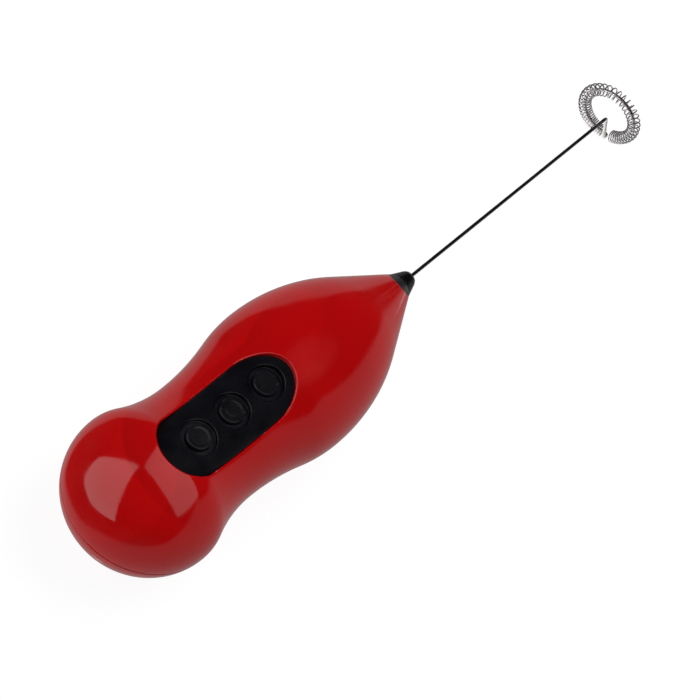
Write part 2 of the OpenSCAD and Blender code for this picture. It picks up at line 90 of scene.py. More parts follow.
BULB_LEN = 22.0
BULB_R = 22.9
SHOULDER_R = 13.8
WAIST_REAR_R = 40.8
WAIST_R = 18.25
WAIST_FRONT_R = 77.5
LOBE_REAR_R = 42.9
LOBE_R = 22.25
LOBE_FRONT_R = 57.5
SHELL_LEN = 122.0
SHELL_NOSE_R = 4.15
NOSE_SLOPE = math.tan(math.radians(31))
NOSE_JOINT_X = 122.25
WALL = 2.0
BORE_R = 2.95
WALL_TAPER = 8.0
NOSE_TAPER = 0.49
SPLIT_Z = -2.2
DOOR_END = 61.0
DOOR_GAP = 0.2
SEAM_ROUND = 0.28
FLAT_SOFTNESS = 0.12
OUTER_SPACING = 0.9
INNER_SPACING = 1.8
SEAT_Z = -AXIS_Z / MM


def arc_points(centre, radius, first, last, hollow=False):
    """Points and outward normals every twentieth of a millimetre along an arc, angles in radians."""
    steps = max(8, int(abs(last - first) * radius * 20))
    a = np.linspace(first, last, steps)
    ray = circle(a)
    return np.asarray(centre) + radius * ray, -ray if hollow else ray


def handle_outline():
    """Rows of x, radius and the outward normal's two parts, from the bulb's end past the nose ring."""
    shoulder = np.array([BULB_LEN, BULB_R - SHOULDER_R])
    rise = WAIST_R + WAIST_REAR_R - shoulder[1]
    waist_x = BULB_LEN + math.sqrt((SHOULDER_R + WAIST_REAR_R) ** 2 - rise ** 2)
    rear = np.array([waist_x, WAIST_R + WAIST_REAR_R])
    front = np.array([waist_x, WAIST_R + WAIST_FRONT_R])
    drop = front[1] - (LOBE_R - LOBE_REAR_R)
    lobe_x = waist_x + math.sqrt((WAIST_FRONT_R + LOBE_REAR_R) ** 2 - drop ** 2)
    lobe_rear = np.array([lobe_x, LOBE_R - LOBE_REAR_R])
    lobe_front = np.array([lobe_x, LOBE_R - LOBE_FRONT_R])
    reach = np.array([SHELL_LEN, SHELL_NOSE_R]) - lobe_front
    a_rear = math.atan2(rear[1] - shoulder[1], waist_x - BULB_LEN)
    a_front = math.atan2(lobe_rear[1] - front[1], lobe_x - waist_x)
    a_nose = math.atan2(reach[1], reach[0]) + math.acos(LOBE_FRONT_R / np.linalg.norm(reach))
    quarter = math.pi / 2
    a = np.linspace(math.pi, quarter, 700)
    bulb = [BULB_LEN, 0] + circle(a) * [BULB_LEN, BULB_R]
    bulb_normals = unit(circle(a) / [BULB_LEN, BULB_R])
    nose_way = np.array([math.sin(a_nose), -math.cos(a_nose)])
    nose_normal = np.array([math.cos(a_nose), math.sin(a_nose)])
    last = lobe_front + LOBE_FRONT_R * nose_normal
    nose_len = (SHELL_LEN - last[0]) / nose_way[0] + 3.0
    steps = np.linspace(0, nose_len, 200)[1:]
    parts = [
        (bulb, bulb_normals),
        arc_points(shoulder, SHOULDER_R, quarter, a_rear),
        arc_points(rear, WAIST_REAR_R, a_rear - math.pi, -quarter, hollow=True),
        arc_points(front, WAIST_FRONT_R, -quarter, a_front, hollow=True),
        arc_points(lobe_rear, LOBE_REAR_R, a_front + math.pi, quarter),
        arc_points(lobe_front, LOBE_FRONT_R, quarter, a_nose),
        (last + steps[:, None] * nose_way, np.tile(nose_normal, (len(steps), 1))),
    ]
    rows = np.concatenate([np.concatenate([p, n], 1) for p, n in parts])
    keep = np.concatenate([[True], np.diff(rows[:, 0]) > 1e-7])
    return rows[keep]


class Skin:
    """The handle's surface of revolution at a depth below its outside."""

    def __init__(self, depth):
        rows = handle_outline()
        way = np.linalg.norm(np.diff(rows[:, :2], axis=0), axis=1)
        self.s = np.concatenate([[0], np.cumsum(way)])
        self.end = np.interp(SHELL_LEN, rows[:, 0], self.s)
        nose_depth = (SHELL_NOSE_R - BORE_R) * rows[-1, 3]
        share = np.clip((self.end - self.s) / WALL_TAPER, 0, 1)
        depths = depth * share + min(depth, nose_depth) * (1 - share)
        self.x = rows[:, 0] - depths * rows[:, 2]
        self.r = np.maximum(rows[:, 1] - depths * rows[:, 3], 0)
        self.nx, self.nr = rows[:, 2], rows[:, 3]
        self.turn = math.pi / (self.end + SHELL_NOSE_R / NOSE_TAPER)

    def s_at(self, x):
        return np.interp(x, self.x, self.s)

    def r_at(self, s):
        return np.interp(s, self.s, self.r)

    def point(self, s, theta):
        """Points at a way s along the outline and an angle theta from the panel's side."""
        r = self.r_at(s)
        z = r * np.cos(theta)
        return np.stack([np.interp(s, self.s, self.x), r * np.sin(theta), settled(z)], -1)

    def normal(self, s, theta):
        nr = np.interp(s, self.s, self.nr)
        z = self.r_at(s) * np.cos(theta)
        nz = nr * np.cos(theta) / np.maximum(settled_slope(z), 1e-4)
        return unit(np.stack([np.interp(s, self.s, self.nx), nr * np.sin(theta), nz], -1))

    def chart(self, s, theta, face):
        """Flat map of one side of the handle: face is 1 for the panel's side and -1 for the back."""
        phi = s * self.turn
        d = np.stack([-np.cos(phi), np.sin(phi) * np.sin(theta), np.sin(phi) * np.cos(theta) * face], -1)
        return d[..., :2] / (1 + d[..., 2:])

    def split(self, z, x_end, count):
        """One side of the level cut at z, from the bulb's end to x_end, in even steps."""
        reach = np.argmax(self.r > abs(z) + 1e-6)
        s = self.s[reach] + (self.s_at(x_end) - self.s[reach]) * np.linspace(0, 1, 800) ** 2
        theta = np.arccos(np.clip(z / np.maximum(self.r_at(s), 1e-6), -1, 1))
        theta[0] = 0.0 if z > 0 else math.pi
        way = np.linalg.norm(np.diff(self.point(s, theta), axis=0), axis=1)
        way = np.concatenate([[0], np.cumsum(way)])
        even = np.linspace(0, way[-1], count)
        return np.interp(even, way, s), np.interp(even, way, theta)

    def column(self, x, y, side):
        """Where a line along z through x, y meets the surface: (s, theta)."""
        s = self.s_at(x)
        r = self.r_at(s)
        theta = np.arcsin(np.clip(y / r, -1, 1))
        return s, theta if side > 0 else math.pi - theta


def settled(z):
    """Height with the two small flats that the handle lies on, rolled softly into the round back."""
    return SEAT_Z + FLAT_SOFTNESS * np.logaddexp(0, (z - SEAT_Z) / FLAT_SOFTNESS)


def settled_slope(z):
    return 1 / (1 + np.exp(-np.clip((z - SEAT_Z) / FLAT_SOFTNESS, -40, 40)))


OUTER = Skin(0.0)
INNER = Skin(WALL)


# ---- Solids with a normal at every face corner ----

def new_object(name, data):
    made = bpy.data.objects.new(name, data)
    bpy.context.scene.collection.objects.link(made)
    return made


class Solid:
    """Vertices and faces of one closed piece, in millimetres."""

    def __init__(self):
        self.rows, self.count = [], 0
        self.faces, self.normals = [], []

    def row(self, points):
        points = np.atleast_2d(np.asarray(points, float))
        self.rows.append(points)
        self.count += len(points)
        return np.arange(self.count - len(points), self.count)

    def add(self, faces, normals):
        """faces is (n, corners) and normals is (n, corners, 3)."""
        self.faces.append(np.asarray(faces))
        self.normals.append(np.asarray(normals, float))

    def band(self, a, b, na, nb):
        """Quads between two closed rows of the same length, with a normal for each row's points."""
        na, nb = np.broadcast_to(na, (len(a), 3)), np.broadcast_to(nb, (len(b), 3))
        i = np.arange(len(a))
        j = (i + 1) % len(a)
        faces = np.stack([a[i], a[j], b[j], b[i]], 1)
        self.add(faces, np.stack([na[i], na[j], nb[j], nb[i]], 1))

    def fan(self, ring, centre, n_ring, n_centre):
        i = np.arange(len(ring))
        j = (i + 1) % len(ring)
        hub = np.full(len(ring), centre[0])
        n_ring = np.broadcast_to(n_ring, (len(ring), 3))
        n_hub = np.broadcast_to(n_centre, (len(ring), 3))
        self.add(np.stack([ring[i], ring[j], hub], 1), np.stack([n_ring[i], n_ring[j], n_hub], 1))

    def piece(self, name, body, slot, node):
        """Makes the Blender object, which rides on its body and stands for its CAD node."""
        points = np.concatenate(self.rows)
        faces, corner_normals = [], []
        for group, normals in zip(self.faces, self.normals):
            p = points[group]
            facing = np.cross(p[:, 1] - p[:, 0], p[:, 2] - p[:, 0])
            if group.shape[1] == 4:
                facing = facing + np.cross(p[:, 2] - p[:, 0], p[:, 3] - p[:, 0])
            wrong = (facing * normals.sum(1)).sum(1) < 0
            group, normals = group.copy(), normals.copy()
            group[wrong] = group[wrong][:, ::-1]
            normals[wrong] = normals[wrong][:, ::-1]
            faces += group.tolist()
            corner_normals.append(normals.reshape(-1, 3))
        mesh = bpy.data.meshes.new(name)
        mesh.from_pydata(to_frame(points).tolist(), [], faces)
        mesh.polygons.foreach_set("use_smooth", [True] * len(faces))
        mesh.normals_split_custom_set(unit(np.concatenate(corner_normals)).tolist())
        mesh.materials.append(MATERIALS[slot])
        piece = new_object(name, mesh)
        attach(piece, body)
        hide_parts(node)


def turned_between(n, m, share):
    """Directions a share of the way from n to m, by angle."""
    angle = np.arccos(np.clip(dots(n, m), -1, 1))
    angle = np.maximum(angle, 1e-6)
    return (n * np.sin((1 - share) * angle) + m * np.sin(share * angle)) / np.sin(angle)


def rounded_edge(solid, edge, n, m, radius, steps=7):
    """Rows that roll from a surface with normals n to a wall with normals m along an edge.

    Returns the row on the surface and the row on the wall."""
    n, m = np.broadcast_to(n, edge.shape), np.broadcast_to(m, edge.shape)
    centre = edge - radius * (n + m) / (1 + dots(n, m))
    rows, ways = [], []
    for k in range(steps + 1):
        way = turned_between(n, m, k / steps)
        rows.append(solid.row(centre + radius * way))
        ways.append(way)
    for k in range(steps):
        solid.band(rows[k], rows[k + 1], ways[k], ways[k + 1])
    return rows[0], rows[-1]


def triangles_within(flat, edges):
    """Triangles inside closed outlines on a plane, leaving out what inner outlines enclose."""
    made = delaunay_2d_cdt([Vector(p) for p in flat], edges, [], 1, 1e-9)
    source = [group[0] for group in made[3]]
    triangles = np.array([[source[i] for i in triangle] for triangle in made[2]])
    flat = np.array(flat)
    middle = flat[triangles].mean(1)
    crossings = np.zeros(len(middle), int)
    for a, b in flat[np.array(edges)]:
        beside = (a[1] > middle[:, 1]) != (b[1] > middle[:, 1])
        reach = a[0] + (middle[beside, 1] - a[1]) * (b[0] - a[0]) / (b[1] - a[1])
        crossings[beside] += middle[beside, 0] < reach
    return triangles[crossings % 2 == 1]


def outlines(rows):
    """Vertices of closed rows in one list, and the edges between their places in it."""
    ids, edges = [], []
    for row in rows:
        edges += [(len(ids) + i, len(ids) + (i + 1) % len(row)) for i in range(len(row))]
        ids += row.tolist()
    return ids, edges


def fill(solid, skin, face, loops, inside, spacing, sign=1):
    """Near-even triangles over a region of a skin. loops are (vertex rows, s, theta)."""
    ids, edges = outlines([loop[0] for loop in loops])
    flat = [p for _, s, theta in loops for p in skin.chart(s, theta, face).tolist()]
    normals = [n for _, s, theta in loops for n in skin.normal(s, theta).tolist()]
    s_rows = np.arange(spacing / 2, skin.end, spacing * 0.87)
    for k, s in enumerate(s_rows):
        around = max(6, int(2 * math.pi * skin.r_at(s) / spacing))
        theta = (np.arange(around) + (k % 2) / 2) * 2 * math.pi / around
        points = skin.point(np.full(around, s), theta)
        theta = theta[inside(points, spacing * 0.55)]
        if len(theta):
            s_here = np.full(len(theta), s)
            ids += solid.row(skin.point(s_here, theta)).tolist()
            flat += skin.chart(s_here, theta, face).tolist()
            normals += skin.normal(s_here, theta).tolist()
    triangles = triangles_within(flat, edges)
    solid.add(np.array(ids)[triangles], np.array(normals)[triangles] * sign)


# ---- Shells ----

PANEL_HALF_W = 9.25
PANEL_START = 20.0
PANEL_END = 66.7
PANEL_FRONT_LEN = 11.7
PANEL_REAR_X = PANEL_START + PANEL_HALF_W
PANEL_FRONT_X = PANEL_END - PANEL_FRONT_LEN
PANEL_GAP = 0.08
LIP_ROUND = 0.4
SCREW_AT = [(73.0, 14.5), (101.0, 8.2)]
WELL_R = 2.2
WELL_ROUND = 0.2
WELL_FLOOR_Z = -6.0
RIDGE_COUNT = 4
RIDGE_X = 46.5
RIDGE_PITCH = 2.4
RIDGE_SPREAD = math.radians(19)
RIDGE_R = 0.5
RIDGE_FLAT = 0.8
HOOK_START = 34.0
HOOK_END = 56.0
HOOK_ROOT_Z = -17.6
HOOK_FOOT_Z = -12.2
HOOK_THICK = 1.0
HOOK_INNER_Y = 1.2
HOOK_WEB_Y = 2.8
HOOK_OUTER_Y = 4.0


def panel_outline(grow, steps=56):
    """Plan of the panel as points and outward directions: round rear end, longer front end."""
    half = PANEL_HALF_W + grow
    rear = circle(np.linspace(math.pi / 2, 3 * math.pi / 2, steps))
    front = circle(np.linspace(-math.pi / 2, math.pi / 2, steps))
    front_size = [PANEL_FRONT_LEN + grow, half]
    straight = np.linspace(PANEL_REAR_X, PANEL_FRONT_X, steps)[1:-1]
    level = np.ones(len(straight))
    points = np.concatenate([
        [PANEL_REAR_X, 0] + half * rear, np.stack([straight, -half * level], 1),
        [PANEL_FRONT_X, 0] + front_size * front, np.stack([straight[::-1], half * level], 1),
    ])
    sides = [np.stack([0 * level, way * level], 1) for way in (-1, 1)]
    return points, np.concatenate([rear, sides[0], unit(front / front_size), sides[1]])


def in_panel(points, grow):
    """Whether points lie within the panel's plan, grown by a margin."""
    half = PANEL_HALF_W + grow
    x, y = points[:, 0], points[:, 1]
    rear = (x - PANEL_REAR_X) ** 2 + y ** 2 < half ** 2
    front = ((x - PANEL_FRONT_X) / (PANEL_FRONT_LEN + grow)) ** 2 + (y / half) ** 2 < 1
    middle = (x > PANEL_REAR_X) & (x < PANEL_FRONT_X) & (abs(y) < half)
    return rear & (x <= PANEL_REAR_X) | front & (x >= PANEL_FRONT_X) | middle


def nose_edge(skin, theta):
    """Way along the outline to the joint with the nose: square, but slanted over the panel's side."""
    s = np.full(np.shape(theta), skin.s_at(SHELL_LEN))
    for _ in range(60):
        z = skin.r_at(s) * np.cos(theta)
        s = (s + skin.s_at(np.minimum(SHELL_LEN, NOSE_JOINT_X - NOSE_SLOPE * z))) / 2
    return s


def nose_facing(theta, z):
    """Direction that the shell's end faces at the joint with the nose."""
    slanted = (NOSE_JOINT_X - NOSE_SLOPE * z < SHELL_LEN)[:, None]
    return np.where(slanted, unit([1, 0, NOSE_SLOPE]), [1.0, 0, 0])


def seam_loop(skin, z, x_end, level, count_side, count_ring):
    """Boundary of a shell: a level cut round the bulb's end, closed across the handle at x_end.

    level is the way that the level cut faces. Returns s, theta and the walls' outward directions."""
    s, theta = skin.split(z, x_end, count_side)
    last = theta[-1] if level < 0 else theta[-1] - 2 * math.pi
    ring = np.linspace(-theta[-1], last, count_ring)[1:-1]
    s_ring = nose_edge(skin, ring) if level < 0 else np.full(len(ring), skin.s_at(x_end))
    s_all = np.concatenate([s[::-1], s[1:], s_ring])
    theta_all = np.concatenate([theta[::-1], -theta[1:], ring])
    across = np.tile([1.0, 0, 0], (len(ring), 1))
    if level < 0:
        across = nose_facing(ring, skin.r_at(s_ring) * np.cos(ring))
    down = np.array([0, 0, float(level)])
    walls = np.concatenate([np.tile(down, (2 * count_side - 1, 1)), across])
    walls[[0, 2 * count_side - 2]] = unit(down + across[0])
    return s_all, theta_all, walls


def shell_rim(solid, loop, *sizes):
    """Rounded edge and wall round a shell, as boundary loops for filling its outside and inside."""
    s, theta, walls = loop(OUTER, *sizes)
    rim, wall = rounded_edge(solid, OUTER.point(s, theta), OUTER.normal(s, theta), walls, SEAM_ROUND)
    s_in, theta_in, _ = loop(INNER, *sizes)
    rim_in = solid.row(INNER.point(s_in, theta_in))
    solid.band(wall, rim_in, walls, walls)
    return (rim, s, theta), (rim_in, s_in, theta_in)


def front_shell():
    solid = Solid()
    outer, inner = shell_rim(solid, seam_loop, SPLIT_Z, SHELL_LEN, -1, 190, 60)
    plan, out = panel_outline(PANEL_GAP)
    inward = with_z(-out)
    s, theta = OUTER.column(*plan.T, 1)
    lip, drop = rounded_edge(solid, OUTER.point(s, theta), OUTER.normal(s, theta), inward, LIP_ROUND, 10)
    s_in, theta_in = INNER.column(*plan.T, 1)
    drop_in = solid.row(INNER.point(s_in, theta_in))
    solid.band(drop, drop_in, inward, inward)

    def inside(points, margin):
        level = points[:, 2] > SPLIT_Z + margin
        hole = in_panel(points, PANEL_GAP + margin) & (points[:, 2] > 0)
        end = np.minimum(SHELL_LEN, NOSE_JOINT_X - NOSE_SLOPE * points[:, 2])
        return level & ~hole & (points[:, 0] < end - margin)

    def inside_lip(points, margin):
        return inside(points, margin + (LIP_ROUND if margin > 0 else 0))

    fill(solid, OUTER, 1, [outer, (lip, s, theta)], inside_lip, OUTER_SPACING)
    fill(solid, INNER, 1, [inner, (drop_in, s_in, theta_in)], inside, INNER_SPACING, -1)
    solid.piece("front_shell_skin", "handle", "red_shell", "front_shell")


def ridge(solid, x):
    """Low bar across the door's back for the thumb."""
    theta = math.pi + np.linspace(-RIDGE_SPREAD, RIDGE_SPREAD, 40)
    r = np.interp(x, OUTER.x, OUTER.r)
    spoke = spokes(math.pi / 2 - theta)
    sweep(solid, r * spoke + [x, 0, 0], RIDGE_R, spoke, 16, RIDGE_FLAT)


def block(solid, x, y, z):
    """Small square bar given by its ranges."""
    corners = [(y[0], z[0]), (y[1], z[0]), (y[1], z[1]), (y[0], z[1])]
    near, far = [solid.row([(end, *corner) for corner in corners]) for end in x]
    ways = np.array([[0, 0, -1.0], [0, 1, 0], [0, 0, 1], [0, -1, 0]])
    for k in range(4):
        j = (k + 1) % 4
        solid.add([[near[k], near[j], far[j], far[k]]], np.tile(ways[k], (1, 4, 1)))
    for row, way in ((near, -1.0), (far, 1.0)):
        solid.add([row], np.tile([way, 0, 0], (1, 4, 1)))


def battery_door():
    solid = Solid()
    level, end = SPLIT_Z - DOOR_GAP, DOOR_END - DOOR_GAP
    outer, inner = shell_rim(solid, seam_loop, level, end, 1, 130, 90)

    def inside(points, margin):
        return (points[:, 2] < level - margin) & (points[:, 0] < end - margin)

    fill(solid, OUTER, -1, [outer], inside, OUTER_SPACING)
    fill(solid, INNER, -1, [inner], inside, INNER_SPACING, -1)
    for i in range(RIDGE_COUNT):
        ridge(solid, RIDGE_X + i * RIDGE_PITCH)
    for way in (-1, 1):
        along = (HOOK_START, HOOK_END)
        foot_y = sorted([HOOK_INNER_Y * way, HOOK_OUTER_Y * way])
        web_y = sorted([HOOK_WEB_Y * way, HOOK_OUTER_Y * way])
        block(solid, along, foot_y, (HOOK_FOOT_Z, HOOK_FOOT_Z + HOOK_THICK))
        block(solid, along, web_y, (HOOK_ROOT_Z, HOOK_FOOT_Z))
    solid.piece("battery_door_skin", "door", "red_shell", "battery_door")


def back_shell():
    """Front half of the back, with four round wells for its screws."""
    solid = Solid()
    outer, inner = shell_rim(solid, back_loop, 100, 90)
    wells = [(x, y * way) for x, y in SCREW_AT for way in (-1, 1)]
    loops = [outer]
    ring = circle(full_turn(48))
    facing = with_z(-ring)
    down = np.array([0, 0, -1.0])
    for x, y in wells:
        s, theta = OUTER.column(*([x, y] + WELL_R * ring).T, -1)
        edge = OUTER.point(s, theta)
        mouth, bore = rounded_edge(solid, edge, OUTER.normal(s, theta), facing, WELL_ROUND, 5)
        seat = solid.row(with_z(edge[:, :2], WELL_FLOOR_Z))
        hub = solid.row([x, y, WELL_FLOOR_Z])
        solid.band(bore, seat, facing, facing)
        solid.fan(seat, hub, down, down)
        loops.append((mouth, s, theta))

    def inside(points, margin):
        along = (points[:, 0] > DOOR_END + margin) & (points[:, 0] < SHELL_LEN - margin)
        return (points[:, 2] < SPLIT_Z - margin) & along

    def inside_wells(points, margin):
        kept = inside(points, margin)
        for x, y in wells:
            kept &= (points[:, 0] - x) ** 2 + (points[:, 1] - y) ** 2 > (WELL_R + margin) ** 2
        return kept

    fill(solid, OUTER, -1, loops, inside_wells, OUTER_SPACING)
    fill(solid, INNER, -1, [inner], inside, INNER_SPACING, -1)
    solid.piece("back_shell_skin", "handle", "red_shell", "back_shell")


def back_loop(skin, side, arc):
    """Boundary of the back shell: two level cuts between the door's joint and the nose ring."""
    s = np.linspace(skin.s_at(DOOR_END), skin.s_at(SHELL_LEN), side)
    theta = np.arccos(SPLIT_Z / skin.r_at(s))
    nose_steps = 34
    nose = np.linspace(theta[-1], 2 * math.pi - theta[-1], nose_steps)[1:-1]
    rear = np.linspace(2 * math.pi - theta[0], theta[0], arc)[1:-1]
    s_all = np.concatenate([s, np.full(len(nose), s[-1]), s[::-1], np.full(len(rear), s[0])])
    theta_all = np.concatenate([theta, nose, 2 * math.pi - theta[::-1], rear])
    up, ahead = np.array([0, 0, 1.0]), np.array([1.0, 0, 0])
    last = side + len(nose)
    walls = np.tile(up, (len(s_all), 1))
    walls[side:last] = ahead
    walls[last + side:] = -ahead
    walls[[side - 1, last]] = unit(up + ahead)
    walls[[0, last + side - 1]] = unit(up - ahead)
    return s_all, theta_all, walls


# ---- Panel and buttons ----

PANEL_CREST = 18.9
PANEL_SAG_R = 160.0
PANEL_SAG_X = 45.0
PANEL_SIDE_R = 16.0
PANEL_FLOOR = 12.5
BUTTON_X = [33.2, 46.0, 58.8]
BUTTON_R = 3.55
RECESS_R = 5.05
RECESS_DEPTH = 1.5
BUTTON_SINK = 0.1
BUTTON_GAP = 0.12
BUTTON_DEPTH = 3.0
FLANGE_R = 4.5
FLANGE_H = 1.0
STEM_R = 1.4
DISH_DEPTH = 0.16
HOUSING_R = 4.9
LEDGE_DEPTH = 1.4
PANEL_ROUND = 0.35
RECESS_ROUND = 0.28
RECESS_FILLET = 0.3
MARK_R = 1.65
MARK_OPENING = math.radians(70)
MARK_BAR_START = 0.55
MARK_BAR_END = 1.95
MARK_SINK = 0.1
MARK_WIRE_R = 0.17


def button_top(x):
    return PANEL_CREST + (np.asarray(x, float) - PANEL_SAG_X) ** 2 / (2 * PANEL_SAG_R)


def saddle(plan):
    """Height and normal of the panel's face, a shallow saddle, at points of its plan."""
    axis = PANEL_CREST - PANEL_SIDE_R
    r = button_top(plan[:, 0]) - axis
    lift = np.sqrt(r ** 2 - plan[:, 1] ** 2)
    slope = (plan[:, 0] - PANEL_SAG_X) / PANEL_SAG_R
    normal = unit(np.stack([-r * slope / lift, plan[:, 1] / lift, np.ones(len(plan))], 1))
    return with_z(plan, axis + lift), normal


def plan_fill(solid, loops, inside, spacing, height):
    """Triangles over a plan region. height gives points and normals; loops are (rows, plan points)."""
    ids, edges = outlines([loop[0] for loop in loops])
    x = np.arange(PANEL_START, PANEL_END, spacing)
    y = np.arange(-PANEL_HALF_W, PANEL_HALF_W, spacing)
    lattice = np.stack(np.meshgrid(x, y), -1).reshape(-1, 2)
    lattice = lattice[inside(lattice, spacing * 0.6)]
    ids += solid.row(height(lattice)[0]).tolist()
    flat = np.concatenate([plan for _, plan in loops] + [lattice])
    triangles = triangles_within(flat, edges)
    solid.add(np.array(ids)[triangles], height(flat)[1][triangles])


def floor_plane(plan):
    """Height and normal of the panel's flat underside."""
    return with_z(plan, PANEL_FLOOR), np.tile([0, 0, -1.0], (len(plan), 1))


def control_panel():
    """Black insert with a soft outer edge and three stepped holes for the buttons."""
    solid = Solid()
    plan, out = panel_outline(0, 64)
    outward = with_z(out)
    edge, face = saddle(plan)
    top, wall = rounded_edge(solid, edge, face, outward, PANEL_ROUND)
    foot = solid.row(with_z(plan, PANEL_FLOOR))
    solid.band(wall, foot, outward, outward)
    tops, feet = [(top, plan)], [(foot, plan)]
    ring = circle(full_turn(72))
    facing = with_z(-ring)
    up = np.array([0, 0, 1.0])
    for x in BUTTON_X:
        centre = np.array([x, 0])
        mouth = centre + RECESS_R * ring
        edge, face = saddle(mouth)
        lip, bore = rounded_edge(solid, edge, face, facing, RECESS_ROUND)
        floor_z = float(button_top(x)) - RECESS_DEPTH
        low, flat = rounded_edge(solid, with_z(mouth, floor_z), facing, up, -RECESS_FILLET)
        solid.band(bore, low, facing, facing)
        hole_r, ledge_z = BUTTON_R + BUTTON_GAP, floor_z - LEDGE_DEPTH
        steps = [(hole_r, floor_z), (hole_r, ledge_z), (HOUSING_R, ledge_z), (HOUSING_R, PANEL_FLOOR)]
        before = flat
        for (r, z), way in zip(steps, (up, facing, -up, facing)):
            row = solid.row(with_z(centre + r * ring, z))
            solid.band(before, row, way, way)
            before = row
        tops.append((lip, mouth))
        feet.append((before, centre + HOUSING_R * ring))

    def inside(points, margin, hole_r=RECESS_R):
        kept = in_panel(points, -margin)
        for x in BUTTON_X:
            kept &= (points[:, 0] - x) ** 2 + points[:, 1] ** 2 > (hole_r + margin) ** 2
        return kept

    def inside_foot(points, margin):
        return inside(points, margin, HOUSING_R)

    plan_fill(solid, tops, inside, 0.7, saddle)
    plan_fill(solid, feet, inside_foot, 1.6, floor_plane)
    solid.piece("control_panel_skin", "handle", "panel_black", "control_panel")


def rounded_path(corners, steps=5):
    """Outline in a half plane from corners of (radius, height, round), with the solid on its right.

    Returns points and the normals before and after each one."""
    points, before, after = [], [], []
    places = np.array([corner[:2] for corner in corners], float)
    ways = unit(np.diff(places, axis=0))
    normals = np.stack([-ways[:, 1], ways[:, 0]], 1)
    last = len(corners) - 1
    for i, (_, _, soft) in enumerate(corners):
        n_in, n_out = normals[max(i - 1, 0)], normals[min(i, last - 1)]
        if not soft or i in (0, last):
            points.append(places[i])
            before.append(n_in)
            after.append(n_out)
            continue
        turn = math.atan2(n_in[0] * n_out[1] - n_in[1] * n_out[0], float(n_in @ n_out))
        out = 1 if turn < 0 else -1
        start = places[i] - ways[i - 1] * soft * math.tan(abs(turn) / 2)
        for a in np.linspace(0, turn, steps + 1):
            cos, sin = math.cos(a), math.sin(a)
            n = np.array([n_in[0] * cos - n_in[1] * sin, n_in[0] * sin + n_in[1] * cos])
            points.append(start - out * soft * (n_in - n))
            before.append(n)
            after.append(n)
    return np.array(points), np.array(before), np.array(after)


def lathe(solid, corners, x, around=72):
    """Turns an outline with both ends on the axis about the upright line through x."""
    path, before, after = rounded_path(corners)
    ring = circle(full_turn(around))
    rows = []
    for r, z in path:
        turned = with_z(r * ring + [x, 0], z)
        rows.append(solid.row(turned if r > 1e-9 else turned[:1]))
    for first, second, leaving, arriving in zip(rows, rows[1:], after, before[1:]):
        n_first, n_second = [with_z(radial * ring, axial) for radial, axial in (leaving, arriving)]
        if len(first) == 1:
            solid.fan(second, first, n_second, n_second)
        elif len(second) == 1:
            solid.fan(first, second, n_first, n_first)
        else:
            solid.band(first, second, n_first, n_second)


def sweep(solid, path, radii, up, sides=20, flat=1.0):
    """Round wire along a path with half-round ends. flat below 1 squeezes it along up."""
    path = np.asarray(path, float)
    way = unit(np.gradient(path, axis=0))
    up = np.broadcast_to(np.asarray(up, float), path.shape)
    side = unit(np.cross(way, up))
    lift = np.cross(side, way)
    radii = np.broadcast_to(np.asarray(radii, float), (len(path),))
    a = full_turn(sides)
    rows, normals = [], []

    def ring(k, lean):
        spoke = np.cos(a)[:, None] * side[k] + flat * np.sin(a)[:, None] * lift[k]
        out = np.cos(a)[:, None] * side[k] + np.sin(a)[:, None] * lift[k] / flat
        rows.append(solid.row(path[k] + radii[k] * (way[k] * math.sin(lean) + math.cos(lean) * spoke)))
        normals.append(unit(unit(out) * math.cos(lean) + way[k] * math.sin(lean)))

    leans = np.linspace(0, math.pi / 2, 5)[1:-1]
    places = [(0, lean) for lean in -leans[::-1]] + [(k, 0) for k in range(len(path))]
    for k, lean in places + [(-1, lean) for lean in leans]:
        ring(k, lean)
    for k in range(len(rows) - 1):
        solid.band(rows[k], rows[k + 1], normals[k], normals[k + 1])
    for k, sign in ((0, -1), (-1, 1)):
        tip = solid.row(path[k] + sign * way[k] * radii[k])
        solid.fan(rows[k], tip, normals[k], sign * way[k])


def button_corners(x):
    """A cap with a dished top, a flange under the panel and a stem down to its dome."""
    top = float(button_top(x)) - BUTTON_SINK
    shoulder = float(button_top(x)) - BUTTON_DEPTH
    stem = (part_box("dome_power")[1].z - AXIS_Z) / MM
    return [
        (0, top - DISH_DEPTH, 0), (2.35, top - 0.75 * DISH_DEPTH, 0.6), (2.9, top, 0.5),
        (BUTTON_R, top, 0.38), (BUTTON_R, shoulder, 0.1), (FLANGE_R, shoulder, 0.1),
        (FLANGE_R, shoulder - FLANGE_H, 0.1), (STEM_R, shoulder - FLANGE_H, 0.1), (STEM_R, stem, 0.1),
        (0, stem, 0),
    ]


def power_mark(solid, x):
    """Raised open ring and bar, the usual on and off mark, turned towards the whisk."""
    top = float(button_top(x)) - BUTTON_SINK - MARK_SINK
    ring = MARK_R * circle(np.linspace(MARK_OPENING / 2, 2 * math.pi - MARK_OPENING / 2, 60))
    bar = np.linspace((MARK_BAR_START, 0), (MARK_BAR_END, 0), 8)
    for line in (ring, bar):
        sweep(solid, with_z([x, 0] + line, top), MARK_WIRE_R, (0, 0, 1), 10)


def button(name, number):
    solid = Solid()
    lathe(solid, button_corners(BUTTON_X[number]), BUTTON_X[number])
    if name == "power":
        power_mark(solid, BUTTON_X[number])
    solid.piece(name + "_cap", name + "_button", "button_black", "button_" + name)


# ---- Nose and whisk ----

NOSE_STEP = 0.05
NOSE_GAP = 0.05
SPIGOT_R = 2.9
WIRE_BORE_R = 0.75
TIP_X = 127.05
TIP_R = 1.95
TIP_SHOULDER_R = 2.5
TIP_SHOULDER_LEN = 0.85
SPIGOT_FLANGE_R = 4.0
SPIGOT_FLANGE_X = 111.5
SPIGOT_END_X = 110.0


